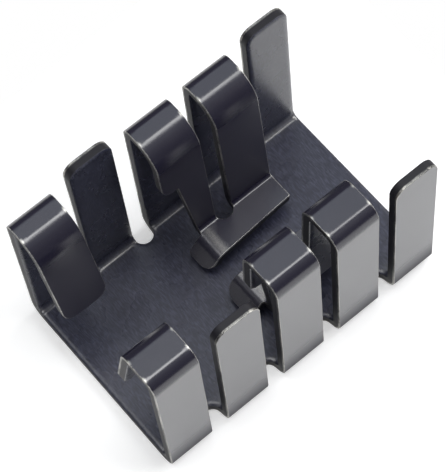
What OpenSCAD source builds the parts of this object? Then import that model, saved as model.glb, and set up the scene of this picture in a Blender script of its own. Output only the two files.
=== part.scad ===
// Clip-on heat sink for a plastic power transistor, cut and folded from one
// piece of black anodised aluminium sheet.
//
// X runs along the two rows of fins, Y across them, Z up. The origin is at the
// middle of the base's underside. Each folded fin is a section of the sheet,
// seen along X, that is carried along X and then cut to its outline, as the
// flat blank of the real one is. The front row is a mirror image of the back
// one with its own bends, tip height and bar depth.

/* [Base] */
// Length of the base, along the rows of fins
base_length = 19.05; // [17.5:0.05:30]
// Width over the outer faces of the two rows of fins
base_width = 12.7; // [12.5:0.1:20]
// Thickness of the sheet
sheet = 0.63; // [0.4:0.01:0.8]
// Inside radius of the bends from the base into the fins
base_bend = 0.42; // [0.2:0.01:0.8]
// Depth of the slots between the fins, from the outer faces into the base
slot_depth = 1.38; // [1.3:0.01:2.4]

/* [Fins] */
// Height of the straight fins
fin_height = 12.7; // [9:0.1:20]
// Width of each fin
fin_width = 2.88; // [2.3:0.01:3.3]
// Radius of the corners at the free ends of fins and legs
tip_round = 0.75; // [0.1:0.05:1]

/* [Hooks] */
// Height of the flat tops of the folded fins
hook_height = 12.35; // [10.5:0.05:20]
// Inside radius of the bend from the wall into a back hook's flat top
back_outer_bend = 0.1; // [0.05:0.01:0.6]
// Length of a back hook's flat top between its two bends
back_flat = 0.7; // [0.3:0.05:1.2]
// Inside radius of the bend from a back hook's flat top into its leg
back_inner_bend = 0.81; // [0.1:0.01:0.9]
// Inside radius of the bend from the wall into a front hook's flat top
front_outer_bend = 0.32; // [0.05:0.01:0.6]
// Length of a front hook's flat top between its two bends
front_flat = 0.95; // [0.3:0.05:1.2]
// Inside radius of the bend from a front hook's flat top into its leg
front_inner_bend = 0.32; // [0.1:0.01:0.9]
// Inward slant of the back end hook's leg from its wall, in degrees
back_slant = 14; // [2:0.5:16]
// Inward slant of the front end hook's leg from its wall, in degrees
front_slant = 12.5; // [2:0.5:16]
// Inward lean of the whole end hook in the back row, in degrees
back_lean = 1.6; // [0.5:0.1:2]
// Height of the free tip of the end hook's leg in the back row
back_tip_height = 5.8; // [3:0.1:8]
// Height of the free tip of the end hook's leg in the front row
front_tip_height = 6.9; // [3:0.1:8]

/* [Clip] */
// Clear height between the base and the spring bars
bar_gap = 0.99; // [0.7:0.01:2]
// Inside radius of the bends from the legs into the bars
bar_bend = 0.25; // [0.1:0.01:0.5]
// Inward slant of the legs that carry the bars, in degrees
clip_slant = 3; // [0:0.5:5]
// Depth of the back bar at its far end, from its bend to its free edge
back_bar_depth = 1.53; // [1:0.01:1.8]
// Depth of the front bar at its far end, from its bend to its free edge
front_bar_depth = 1.95; // [1:0.01:2.2]
// How far a bar's free edge turns from the line of the row, in degrees
bar_taper = 3.5; // [0.5:0.5:4]
// How far the slot between the two legs runs on into the flat of a bar
notch_depth = 0.28; // [0:0.01:0.5]
// Height of the shoulder where the near leg of each pair narrows
shoulder_height = 8.1; // [5:0.1:9]
// Width of the narrowed leg just under its shoulder
neck_top_width = 1.89; // [1.5:0.01:2.1]
// Width of the narrowed leg at the foot
neck_foot_width = 1.29; // [1:0.01:1.5]

/* [Lip] */
// Downward slope of the lips at the near ends of the bars, in degrees
lip_angle = 50; // [30:1:60]
// Inside radius of the slow bend at the near end of a bar, before its lip
ease_bend = 2.47; // [1.5:0.01:3]
// How far the slow bend turns, in degrees
ease_angle = 12; // [6:1:15]
// Inside radius of the tight bend from the slow bend into the lip
lip_bend = 0.15; // [0.1:0.01:0.4]
// How far inside the narrowed leg's edge the bend of a lip starts
lip_overlap = 0.65; // [0.3:0.01:0.9]
// Distance from the bend at the legs' feet to the back edge of a lip
lip_relief = 0.05; // [0.02:0.01:0.3]
// Clearance between the lower edge of a lip and the base
lip_clearance = 0.12; // [0.05:0.01:0.3]
// Radius of a lip's corner at the free edge of its bar
lip_round = 0.85; // [0.1:0.05:0.9]
// Radius of a lip's corner beside the leg
lip_back_round = 0.2; // [0.1:0.05:0.5]

/* [Hidden] */
$fn = 64;

// Steps in each bend of a hook and in a slow bend, how far a cut runs past the
// sheet, and how far the ends of a rounding lie outside the edges that it joins
bend_steps = 12;
ease_steps = 4;
margin = 0.2;
run_out = 0.005;

// Fins in each row, and the places in the row of each kind, counted from -X
fins = 5;
end_hook_place = 0;
straight_places = [1, 4];
clip_place = 2;

slot_width = (base_length - fins * fin_width) / (fins - 1);
pitch = fin_width + slot_width;
wall_start = sheet + base_bend;
half_width = base_width / 2;
half_flat = half_width - wall_start;
bar_under = sheet + bar_gap;
bar_top = bar_under + sheet;
clip_span = pitch + fin_width;
lip_start = fin_width - neck_foot_width + lip_overlap;
ease_drop = ease_bend * (1 - cos(ease_angle));
lip_drop = ease_drop + lip_bend * (cos(ease_angle) - cos(lip_angle));
lip_length = (bar_gap - lip_clearance - lip_drop) / sin(lip_angle);
lip_centre = [lip_start, bar_under - ease_bend] + (ease_bend - lip_bend) * [-sin(ease_angle), cos(ease_angle)];
lip_end = lip_centre.x - (lip_bend + sheet) * sin(lip_angle) - lip_length * cos(lip_angle);

// The two tops, each as its outer bend, flat and inner bend, and the centre of
// the bend at the foot of a wall
back_top = [back_outer_bend, back_flat, back_inner_bend];
front_top = [front_outer_bend, front_flat, front_inner_bend];
wall_centre = [half_flat, wall_start];

anodised = "#3f4249";
anodised_light = "#5b5f66";

// Directions down a leg that slants inward, and square to its outer face
function leg_run(slant) = [-sin(slant), -cos(slant)];
function leg_normal(slant) = [-cos(slant), sin(slant)];

// Centres of the two bends of a top, as distance from the middle plane and height
function outer_centre(top) = [half_width - top[0] - sheet, hook_height - top[0] - sheet];
function inner_centre(top) = [outer_centre(top).x - top[1], hook_height - top[2] - sheet];

// Where the bend at the foot of a clip leg has its centre
function foot_centre(top) =
    let (
        reach = top[2] + sheet + bar_bend,
        fall = inner_centre(top).y + reach * sin(clip_slant) - bar_top - bar_bend
    )
    inner_centre(top) + reach * leg_normal(clip_slant) + fall / cos(clip_slant) * leg_run(clip_slant);

// Points along an arc about a centre, from one angle to another
function arc(centre, radius, start, end, steps = bend_steps) = [
    for (i = [0 : steps])
        let (a = start + (end - start) * i / steps)
            centre + radius * [cos(a), sin(a)]
];

// The same points from last to first, and without the first
function reversed(points) = [for (i = [len(points) - 1 : -1 : 0]) points[i]];
function later(points) = [for (i = [1 : len(points) - 1]) points[i]];

// A point turned inward about the foot of its wall
function leaned(point, lean) =
    let (d = point - wall_centre)
    wall_centre + [d.x * cos(lean) - d.y * sin(lean), d.x * sin(lean) + d.y * cos(lean)];

// One face of a hook over both top bends, on the outer or the inner side of the sheet
function over_top(top, slant, depth) = concat(
    arc(outer_centre(top), top[0] + sheet - depth, 0, 90),
    arc(inner_centre(top), top[2] + sheet - depth, 90, 180 - slant)
);

// One face of a free leg's end, whose outer face ends at a given height
function tip_point(top, slant, tip_height, depth) =
    let (long = (inner_centre(top).y + (top[2] + sheet) * sin(slant) - tip_height) / cos(slant))
    inner_centre(top) + (top[2] + sheet - depth) * leg_normal(slant) + long * leg_run(slant);

// One face of the foot of a clip leg and of the bar
function foot(top, radius, bar_depth) = concat(
    arc(foot_centre(top), radius, -clip_slant, -90),
    [[foot_centre(top).x - bar_depth, foot_centre(top).y - radius]]
);

// Section of a hook with a free leg
module end_hook_section(top, slant, tip_height, lean) {
    outer = concat(over_top(top, slant, 0), [tip_point(top, slant, tip_height, 0)]);
    inner = concat(over_top(top, slant, sheet), [tip_point(top, slant, tip_height, sheet)]);
    above = concat(outer, reversed(inner));
    polygon(concat([[half_width, wall_start]], [for (p = above) leaned(p, lean)], [[half_width - sheet, wall_start]]));
}

// Section of a clip hook, down its leg and along its bar
module clip_section(top, bar_depth) {
    outer = concat(over_top(top, clip_slant, 0), foot(top, bar_bend, bar_depth));
    inner = concat(over_top(top, clip_slant, sheet), foot(top, bar_bend + sheet, bar_depth));
    polygon(concat([[half_width, wall_start]], outer, reversed(inner), [[half_width - sheet, wall_start]]));
}

// Carries a section along X
module along_row(wide) {
    rotate([90, 0, 90])
        linear_extrude(wide)
            children();
}

// Carries an outline, seen from the front, through the depth from y = 0
module through_leg(deep) {
    translate([0, deep, 0])
        rotate([90, 0, 0])
            linear_extrude(deep)
                children();
}

// Moves to a place in the back row
module at_place(place) {
    translate([place * pitch - base_length / 2, 0, 0])
        children();
}

// Plan of a slot of the standard width whose full round end is at y = 0 and
// which runs out along +Y
module slot_plan(long) {
    r = slot_width / 2;
    translate([-r, r])
        square([slot_width, long - r]);
    translate([0, r])
        circle(r = r);
}

// What is cut from a square corner at the origin to leave it round
module corner_cut(radius) {
    middle = radius - run_out;
    polygon(concat(
        [[-margin, -margin], [middle, -margin]],
        arc([middle, middle], radius, 270, 180),
        [[-margin, middle]]
    ));
}

// Both round corners at the end of a tab whose end lies at y = 0, the second at
// the tab's full width
module end_corners(wide, first_radius, second_radius) {
    translate([0, 0, -margin])
        linear_extrude(sheet + 2 * margin) {
            corner_cut(first_radius);
            translate([wide, 0])
                mirror([1, 0])
                    corner_cut(second_radius);
        }
}

// Section of a bend from the flat base up into a wall
module base_bend_section() {
    translate([half_flat, wall_start])
        intersection() {
            difference() {
                circle(r = wall_start);
                circle(r = base_bend);
            }
            translate([0, -wall_start])
                square(wall_start);
        }
}

// Base plate with both long edges bent up and the slots between the fins
module base() {
    color(anodised)
        difference() {
            translate([-base_length / 2, 0, 0]) {
                translate([0, -half_flat, 0])
                    cube([base_length, 2 * half_flat, sheet]);
                for (side = [0, 1])
                    mirror([0, side, 0])
                        along_row(base_length)
                            base_bend_section();
            }
            for (side = [0, 1], gap = [0 : fins - 2])
                mirror([0, side, 0])
                    at_place(gap)
                        translate([fin_width + slot_width / 2, half_width - slot_depth, -margin])
                            linear_extrude(wall_start + 2 * margin)
                                slot_plan(slot_depth + margin);
        }
}

// Straight upright fin with round top corners
module straight_fin() {
    r = min(tip_round, 0.4 * fin_width);
    translate([0, half_width, 0])
        rotate([90, 0, 0])
            color(anodised)
                linear_extrude(sheet) {
                    translate([0, wall_start])
                        square([fin_width, fin_height - r - wall_start]);
                    translate([r, fin_height - 2 * r])
                        square([fin_width - 2 * r, 2 * r]);
                    for (x = [r, fin_width - r])
                        translate([x, fin_height - r])
                            circle(r = r);
                }
}

// Hook at the near end of a row, with a free leg that slants inward
module end_hook(top, slant, tip_height, lean) {
    tip = leaned(tip_point(top, slant, tip_height, 0), lean);
    r = min(tip_round, 0.4 * fin_width);
    color(anodised_light)
        difference() {
            along_row(fin_width)
                end_hook_section(top, slant, tip_height, lean);
            translate([0, tip.x, tip.y])
                rotate([270 - slant + lean, 0, 0])
                    mirror([0, 1, 0])
                        end_corners(fin_width, r, r);
        }
}

// What is cut from the near side of a clip: the space beside the narrowed leg,
// under its shoulder, seen from the front
module shoulder_cut() {
    r = min(tip_round, 0.8 * (fin_width - neck_top_width));
    foot_height = bar_top + bar_bend;
    polygon(concat(
        [[-margin, bar_under - margin], [fin_width - neck_foot_width, bar_under - margin]],
        [[fin_width - neck_foot_width, foot_height], [fin_width - neck_top_width, shoulder_height]],
        arc([r - run_out, shoulder_height + r], r, 270, 180),
        [[-margin, shoulder_height + r]]
    ));
}

// One face of both bends of a lip, at a depth below the bar's top
function lip_face(depth) = concat(
    arc([lip_start, bar_under - ease_bend], ease_bend + sheet - depth, 90, 90 + ease_angle, ease_steps),
    later(arc(lip_centre, lip_bend + sheet - depth, 90 + ease_angle, 90 + lip_angle))
);

// Section of a lip, seen from the front, from the near end of the bar's flat
module lip_section() {
    slope = lip_length * [-cos(lip_angle), -sin(lip_angle)];
    upper = lip_face(0);
    lower = lip_face(sheet);
    last = len(upper) - 1;
    polygon(concat(upper, [upper[last] + slope, lower[last] + slope], reversed(lower)));
}

// Lip that slopes down from the near end of a bar, before its free edge is cut
module lip(lip_back, free_edge) {
    difference() {
        through_leg(lip_back)
            lip_section();
        translate([lip_centre.x, free_edge, lip_centre.y])
            rotate([0, -lip_angle, 0])
                translate([-lip_length, 0, lip_bend])
                    rotate([0, 0, 90])
                        mirror([0, 1, 0])
                            end_corners(lip_back - free_edge, min(lip_round, 0.9 * lip_length), lip_back_round);
    }
}

// What is cut from a pair of clip hooks drawn in one width: the slot between
// them, the space beside the near leg and the strip that the lip replaces
module clip_cuts(top) {
    foot_x = foot_centre(top).x;
    translate([fin_width + slot_width / 2, foot_x - notch_depth, wall_start - margin])
        linear_extrude(hook_height)
            slot_plan(half_width);
    through_leg(inner_centre(top).x)
        shoulder_cut();
    translate([0, -half_width, bar_under - margin])
        cube([lip_start, half_width + foot_x - lip_relief, sheet + 2 * margin]);
}

// Pair of hooks whose legs go down to one spring bar over the base
module clip(top, bar_depth) {
    foot_x = foot_centre(top).x;
    far_edge = foot_x - bar_depth;
    lip_edge = far_edge - (clip_span - lip_end) * tan(bar_taper);
    color(anodised_light)
        difference() {
            union() {
                difference() {
                    along_row(clip_span)
                        clip_section(top, foot_x - lip_edge + margin);
                    clip_cuts(top);
                }
                lip(foot_x - lip_relief / 2, lip_edge);
            }
            translate([clip_span, far_edge, sheet / 2])
                rotate([0, 0, bar_taper])
                    translate([-base_length / 2, -half_width, 0])
                        cube([base_length / 2 + margin, half_width, bar_top]);
        }
}

// The four fins of one row beside its end hook, with their bar
module row(top, bar_depth) {
    for (place = straight_places)
        at_place(place)
            straight_fin();
    at_place(clip_place)
        clip(top, bar_depth);
}

module heat_sink() {
    base();
    row(back_top, back_bar_depth);
    at_place(end_hook_place)
        end_hook(back_top, back_slant, back_tip_height, back_lean);
    mirror([0, 1, 0]) {
        row(front_top, front_bar_depth);
        at_place(end_hook_place)
            end_hook(front_top, front_slant, front_tip_height, 0);
    }
}

heat_sink();
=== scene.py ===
"""Clip-on transistor heat sink, folded from one sheet of black anodised aluminium.

The sheet is made the way the press tool makes it. A flat blank is outlined and
filled, its edges are broken by a fine rounding, and every point of the blank is
then carried through the folds. Sizes are in millimetres until a mesh is
written; the blank's own coordinates are x, along the rows of fins, and s, the
distance run across the sheet from the middle of the base. A third one, t, is
the height in the sheet, from 0 on its outer face.
"""

import logging
import math
from dataclasses import dataclass, field
from enum import Enum, IntEnum
from typing import Any

import bpy
import numpy as np
from mathutils import Euler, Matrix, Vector
from mathutils.geometry import delaunay_2d_cdt

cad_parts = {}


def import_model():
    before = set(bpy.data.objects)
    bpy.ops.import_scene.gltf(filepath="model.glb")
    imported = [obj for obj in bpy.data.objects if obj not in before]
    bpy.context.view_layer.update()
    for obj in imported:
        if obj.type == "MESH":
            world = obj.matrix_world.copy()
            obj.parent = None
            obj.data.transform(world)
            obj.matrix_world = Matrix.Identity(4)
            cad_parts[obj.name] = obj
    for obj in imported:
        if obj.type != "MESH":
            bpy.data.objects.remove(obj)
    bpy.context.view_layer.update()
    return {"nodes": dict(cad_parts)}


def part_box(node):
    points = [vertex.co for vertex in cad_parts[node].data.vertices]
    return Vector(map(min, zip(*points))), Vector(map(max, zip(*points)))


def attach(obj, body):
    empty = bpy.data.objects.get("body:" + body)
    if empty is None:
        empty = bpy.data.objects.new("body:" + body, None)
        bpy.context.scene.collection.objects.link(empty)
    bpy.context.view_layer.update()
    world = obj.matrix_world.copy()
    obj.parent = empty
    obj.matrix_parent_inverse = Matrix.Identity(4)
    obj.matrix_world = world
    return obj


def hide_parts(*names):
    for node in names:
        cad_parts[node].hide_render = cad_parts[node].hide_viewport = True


LOG = logging.getLogger("heat_sink")
MM = 0.001
Array = np.ndarray
Tree = bpy.types.NodeTree

# Thickness of the sheet, in millimetres
SHEET = 0.63

# Settings of nodes that are used more than once
PRODUCT = {"operation": "MULTIPLY"}
PRODUCT_PLUS = {"operation": "MULTIPLY_ADD"}
LARGER = {"operation": "MAXIMUM"}
NUMBERS = {"data_type": "FLOAT"}
COLOURS = {"data_type": "RGBA"}


class Side(Enum):
    """The two rows of fins."""

    BACK = 1
    FRONT = -1


class Fin(Enum):
    """The kinds of fin, which differ in how the sheet runs on above the base."""

    STRAIGHT = "straight"
    END_HOOK = "end hook"
    CLIP = "clip"


class Mark(IntEnum):
    """Places along a fin's path where its runs begin, and its end.

    A straight fin ends with its wall. The top and what follows are a hook's,
    and the foot bend and the bar are a clip's.
    """

    BASE_BEND = 0
    WALL = 1
    TOP = 4
    INNER_CREASE = 5
    LEG = 7
    FOOT_BEND = 8
    BAR = 9
    END = -1


ROW_ORDER = (Fin.END_HOOK, Fin.STRAIGHT, Fin.CLIP, Fin.CLIP, Fin.STRAIGHT)
NEAR_CLIP = ROW_ORDER.index(Fin.CLIP)


@dataclass(frozen=True)
class RowSizes:
    """What differs between the two rows, in millimetres and degrees.

    The bends are inside radii: outer from the wall into the flat top of a hook,
    inner from the top into the leg. Next to the flat a bend may have a crease,
    which turns a small angle in a tight radius. The slant, the lean and the
    tip's height are the end hook's, and bar is the depth of the spring bar.
    """

    outer_bend: float
    outer_crease: float
    flat: float
    inner_crease: float
    inner_bend: float
    slant: float
    lean: float
    tip: float
    bar: float


@dataclass(frozen=True)
class SinkSizes:
    """Sizes of the sink in millimetres and degrees.

    They are the solid's, apart from the hooks' top bends. Those have creases
    here, and flats and radii that reach as far as the solid's plain bends.
    """

    length: float
    width: float
    fin_height: float
    base_bend: float = 0.42
    slot_depth: float = 1.38
    fin_width: float = 2.88
    tip_round: float = 0.75
    hook_height: float = 12.35
    back: RowSizes = RowSizes(
        outer_bend=0.1,
        outer_crease=0.0,
        flat=0.66,
        inner_crease=15.0,
        inner_bend=1.161,
        slant=14.0,
        lean=1.6,
        tip=5.8,
        bar=1.53,
    )
    front: RowSizes = RowSizes(
        outer_bend=0.32,
        outer_crease=20.0,
        flat=1.2,
        inner_crease=20.0,
        inner_bend=0.241,
        slant=12.5,
        lean=0.0,
        tip=6.9,
        bar=1.95,
    )
    crease_bend: float = 0.02
    bar_gap: float = 0.99
    bar_bend: float = 0.25
    clip_slant: float = 3.0
    bar_taper: float = 3.5
    bar_round: float = 0.12
    notch_depth: float = 0.28
    shoulder_height: float = 8.1
    shoulder_round: float = 0.12
    neck_top: float = 1.89
    neck_foot: float = 1.29
    neck_round: float = 2.0
    ease_bend: float = 2.47
    ease_angle: float = 12.0
    lip_angle: float = 50.0
    lip_bend: float = 0.15
    lip_overlap: float = 0.65
    lip_relief: float = 0.05
    lip_clearance: float = 0.12
    lip_round: float = 0.85
    lip_back_round: float = 0.2
    nick_round: float = 0.02

    @classmethod
    def of_frame(cls, node: str) -> "SinkSizes":
        """Takes the length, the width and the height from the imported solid.

        Args:
            node: Name of the solid's node.

        Returns:
            The sizes, to a hundredth of a millimetre.
        """
        low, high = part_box(node)
        length, width, height = (round((b - a) / MM, 2) for a, b in zip(low, high))
        return cls(length=length, width=width, fin_height=height)

    @property
    def slot(self) -> float:
        """Width of a slot between two fins."""
        return (self.length - len(ROW_ORDER) * self.fin_width) / (len(ROW_ORDER) - 1)

    @property
    def half_flat(self) -> float:
        """Distance from the middle plane to where the base bends up."""
        return self.width / 2 - SHEET - self.base_bend

    @property
    def bar_under(self) -> float:
        """Height of the underside of the spring bars."""
        return SHEET + self.bar_gap

    @property
    def neck(self) -> float:
        """Place along X of the narrowed leg's near edge at its foot."""
        return self.left(NEAR_CLIP) + self.fin_width - self.neck_foot

    @property
    def lip_start(self) -> float:
        """Place along X where the bars bend down into their lips."""
        return self.neck + self.lip_overlap

    @property
    def lip_straight(self) -> float:
        """Length of a lip beyond its bends, which leaves its clearance over the base."""
        ease, turn = math.radians(self.ease_angle), math.radians(self.lip_angle)
        drop = self.ease_bend * (1 - math.cos(ease)) + self.lip_bend * (math.cos(ease) - math.cos(turn))
        return (self.bar_gap - self.lip_clearance - drop) / math.sin(turn)

    def row(self, side: Side) -> RowSizes:
        """Sizes of one row.

        Args:
            side: Row.

        Returns:
            Its bends, end hook and bar.
        """
        return self.back if side is Side.BACK else self.front

    def left(self, place: int) -> float:
        """Left edge of a fin.

        Args:
            place: Place in the row, from 0 at the near (-X) end.

        Returns:
            Its x in millimetres.
        """
        return place * (self.fin_width + self.slot) - self.length / 2


@dataclass(frozen=True)
class Run:
    """A straight run of the sheet, or a bend where the angle isn't zero.

    A positive angle, in radians, turns the sheet toward its inner face.
    """

    length: float = 0.0
    angle: float = 0.0
    inside: float = 0.0

    @property
    def extent(self) -> float:
        """Length on the blank: a bend's is measured at the middle of the sheet."""
        return self.length + abs(self.angle) * (self.inside + SHEET / 2)


@dataclass(frozen=True)
class FoldedPath:
    """The run of one fin from the edge of the flat base to its free end."""

    runs: tuple[Run, ...]
    start: float

    def stations(self) -> Array:
        """Distances along the path at which its runs begin, and its end."""
        return np.concatenate([[0.0], np.cumsum([run.extent for run in self.runs])])

    def fold(self, u: Array, t: Array) -> tuple[Array, Array, Array]:
        """Carries points of the blank through the folds.

        A straight run moves a point along its direction. On a bend a point lies
        on a circle about the bend's axis, whose radius is the inside radius plus
        its depth in the sheet, at an angle of the distance run over the radius
        of the middle of the sheet.

        Args:
            u: Distance along the path from the edge of the flat base.
            t: Height in the sheet, from 0 on the outer face.

        Returns:
            Points, directions along the sheet and normals toward the inner face,
            each as distance from the middle plane and height.
        """
        marks = self.stations()
        which = np.clip(np.searchsorted(marks, u, side="right") - 1, 0, len(self.runs) - 1)
        points = np.zeros((len(u), 2))
        along = np.zeros((len(u), 2))
        normal = np.zeros((len(u), 2))
        origin, d, n = np.array([self.start, 0.0]), np.array([1.0, 0.0]), np.array([0.0, 1.0])
        for index, run in enumerate(self.runs):
            here = which == index
            v, depth = (u[here] - marks[index])[:, None], t[here][:, None]
            if run.angle == 0.0:
                points[here] = origin + d * v + n * depth
                along[here], normal[here] = d, n
                origin = origin + d * run.length
                continue
            sign = math.copysign(1.0, run.angle)
            axis = origin + n * (SHEET + run.inside if sign > 0 else -run.inside)
            radius = SHEET + run.inside - depth if sign > 0 else run.inside + depth
            phi = v / (run.inside + SHEET / 2)
            points[here] = axis + radius * (np.sin(phi) * d - sign * np.cos(phi) * n)
            along[here] = np.cos(phi) * d + sign * np.sin(phi) * n
            normal[here] = np.cos(phi) * n - sign * np.sin(phi) * d
            turn = abs(run.angle)
            outer = SHEET + run.inside if sign > 0 else run.inside
            origin = axis + outer * (math.sin(turn) * d - sign * math.cos(turn) * n)
            d, n = (
                math.cos(turn) * d + sign * math.sin(turn) * n,
                math.cos(turn) * n - sign * math.sin(turn) * d,
            )
        return points, along, normal


@dataclass(frozen=True)
class Corner:
    """A corner of the blank's outline and the radius that rounds it."""

    x: float
    s: float
    radius: float = 0.0


def rounded_loop(corners: list[Corner], spacing: float, least: int = 4, touching: float = 1e-6) -> Array:
    """Turns corners into a closed line of close points.

    Each corner is replaced by the arc that touches both of its edges, and the
    straight stretches between are divided evenly.

    Args:
        corners: Corners in order round the outline.
        spacing: Widest distance between two points.
        least: Fewest steps in a round corner.
        touching: Distance under which two points are one.

    Returns:
        Points as rows of x and s.
    """
    at = np.array([[c.x, c.s] for c in corners])
    pieces: list[Array] = []
    for i, corner in enumerate(corners):
        back = at[i - 1] - at[i]
        ahead = at[(i + 1) % len(at)] - at[i]
        back, ahead = back / np.linalg.norm(back), ahead / np.linalg.norm(ahead)
        half = math.acos(float(np.clip(back @ ahead, -1, 1))) / 2
        if corner.radius <= 0:
            pieces.append(at[i : i + 1])
            continue
        reach = corner.radius / math.tan(half)
        centre = at[i] + (back + ahead) / np.linalg.norm(back + ahead) * corner.radius / math.sin(half)
        first, last = at[i] + back * reach - centre, at[i] + ahead * reach - centre
        swing = math.pi - 2 * half
        steps = max(least, math.ceil(swing * corner.radius / spacing))
        share = np.linspace(0, 1, steps + 1)[:, None]
        arc = (np.sin((1 - share) * swing) * first + np.sin(share * swing) * last) / math.sin(swing)
        pieces.append(centre + arc)
    outline: list[Array] = []
    for i, piece in enumerate(pieces):
        outline.append(piece)
        a, b = piece[-1], pieces[(i + 1) % len(pieces)][0]
        steps = math.ceil(np.linalg.norm(b - a) / spacing)
        if steps > 1:
            outline.append(a + (b - a) * np.linspace(0, 1, steps + 1)[1:-1, None])
    line = np.concatenate(outline)
    keep = np.linalg.norm(line - np.roll(line, 1, axis=0), axis=1) > touching
    return line[keep]


def outward(loop: Array) -> tuple[Array, Array]:
    """Outward directions of a loop that keeps the material on its left.

    Args:
        loop: Points in order.

    Returns:
        Unit normals at the points, and the mitre steps that move each point
        inward by one unit of distance from both of its edges.
    """
    edge = np.roll(loop, -1, axis=0) - loop
    edge /= np.linalg.norm(edge, axis=1)[:, None]
    right = np.stack([edge[:, 1], -edge[:, 0]], axis=1)
    both = right + np.roll(right, 1, axis=0)
    unit = both / np.linalg.norm(both, axis=1)[:, None]
    mitre = -unit / np.maximum(0.5, np.sum(unit * right, axis=1))[:, None]
    return unit, mitre


def inside(points: Array, loops: list[Array], batch: int = 2000) -> Array:
    """Tells which points lie in the material, by counting crossings.

    A point is inside if a ray from it toward +x crosses the loops an odd number
    of times.

    Args:
        points: Points to test.
        loops: The outer line and the lines of the windows.
        batch: How many points are tested at once.

    Returns:
        True for each point in the material.
    """
    crossings = np.zeros(len(points), dtype=int)
    for loop in loops:
        a, b = loop, np.roll(loop, -1, axis=0)
        for part in np.array_split(np.arange(len(points)), max(1, len(points) // batch)):
            x, y = points[part, 0][:, None], points[part, 1][:, None]
            spans = (a[:, 1] > y) != (b[:, 1] > y)
            rise = np.where(b[:, 1] == a[:, 1], 1.0, b[:, 1] - a[:, 1])
            cross = a[:, 0] + (y - a[:, 1]) / rise * (b[:, 0] - a[:, 0])
            crossings[part] += np.sum(spans & (x < cross), axis=1)
    return crossings % 2 == 1


def mesh_points(x: Array, s: Array) -> Array:
    """Every pair of an x and an s, as rows of both, with x running first."""
    return np.stack([values.ravel() for values in np.meshgrid(x, s)], axis=1)


def smooth(value: Array, low: Array | float, high: Array | float) -> Array:
    """Rises smoothly from 0 at low to 1 at high: 3x^2 - 2x^3 of the share of the way."""
    share = np.clip((value - low) / (high - low), 0, 1)
    return share * share * (3 - 2 * share)


def linear(code: str) -> tuple[float, float, float, float]:
    """Turns an sRGB hex colour into linear light.

    Args:
        code: Six hex digits.

    Returns:
        Red, green, blue and an alpha of 1.
    """
    shares = [int(code[i : i + 2], 16) / 255 for i in (0, 2, 4)]
    r, g, b = (c / 12.92 if c <= 0.04045 else ((c + 0.055) / 1.055) ** 2.4 for c in shares)
    return r, g, b, 1.0


def span(low: float, high: float, first: float = 0.0, last: float = 1.0) -> dict[str, float]:
    """Inputs of a Map Range node that turn low into first and high into last."""
    return {"From_Min": low, "From_Max": high, "To_Min": first, "To_Max": last}


def add(tree: Tree, kind: str, settings: dict[str, Any] | None = None, **inputs: Any) -> bpy.types.Node:
    """Adds a node with its settings, values and links.

    Args:
        tree: Node tree.
        kind: Blender's name for the node.
        settings: Attributes of the node.
        inputs: Value, output socket or node for each input, where a node stands
            for its first output. An input is named with _ for a space, or with
            i and a number by its place.

    Returns:
        The node.
    """
    node = tree.nodes.new(kind)
    for name, value in (settings or {}).items():
        setattr(node, name, value)
    for name, value in inputs.items():
        by_place = name[0] == "i" and name[1:].isdigit()
        socket = node.inputs[int(name[1:])] if by_place else node.inputs[name.replace("_", " ")]
        if isinstance(value, bpy.types.Node):
            value = value.outputs[0]
        if isinstance(value, bpy.types.NodeSocket):
            tree.links.new(value, socket)
        else:
            socket.default_value = value
    return node


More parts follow.
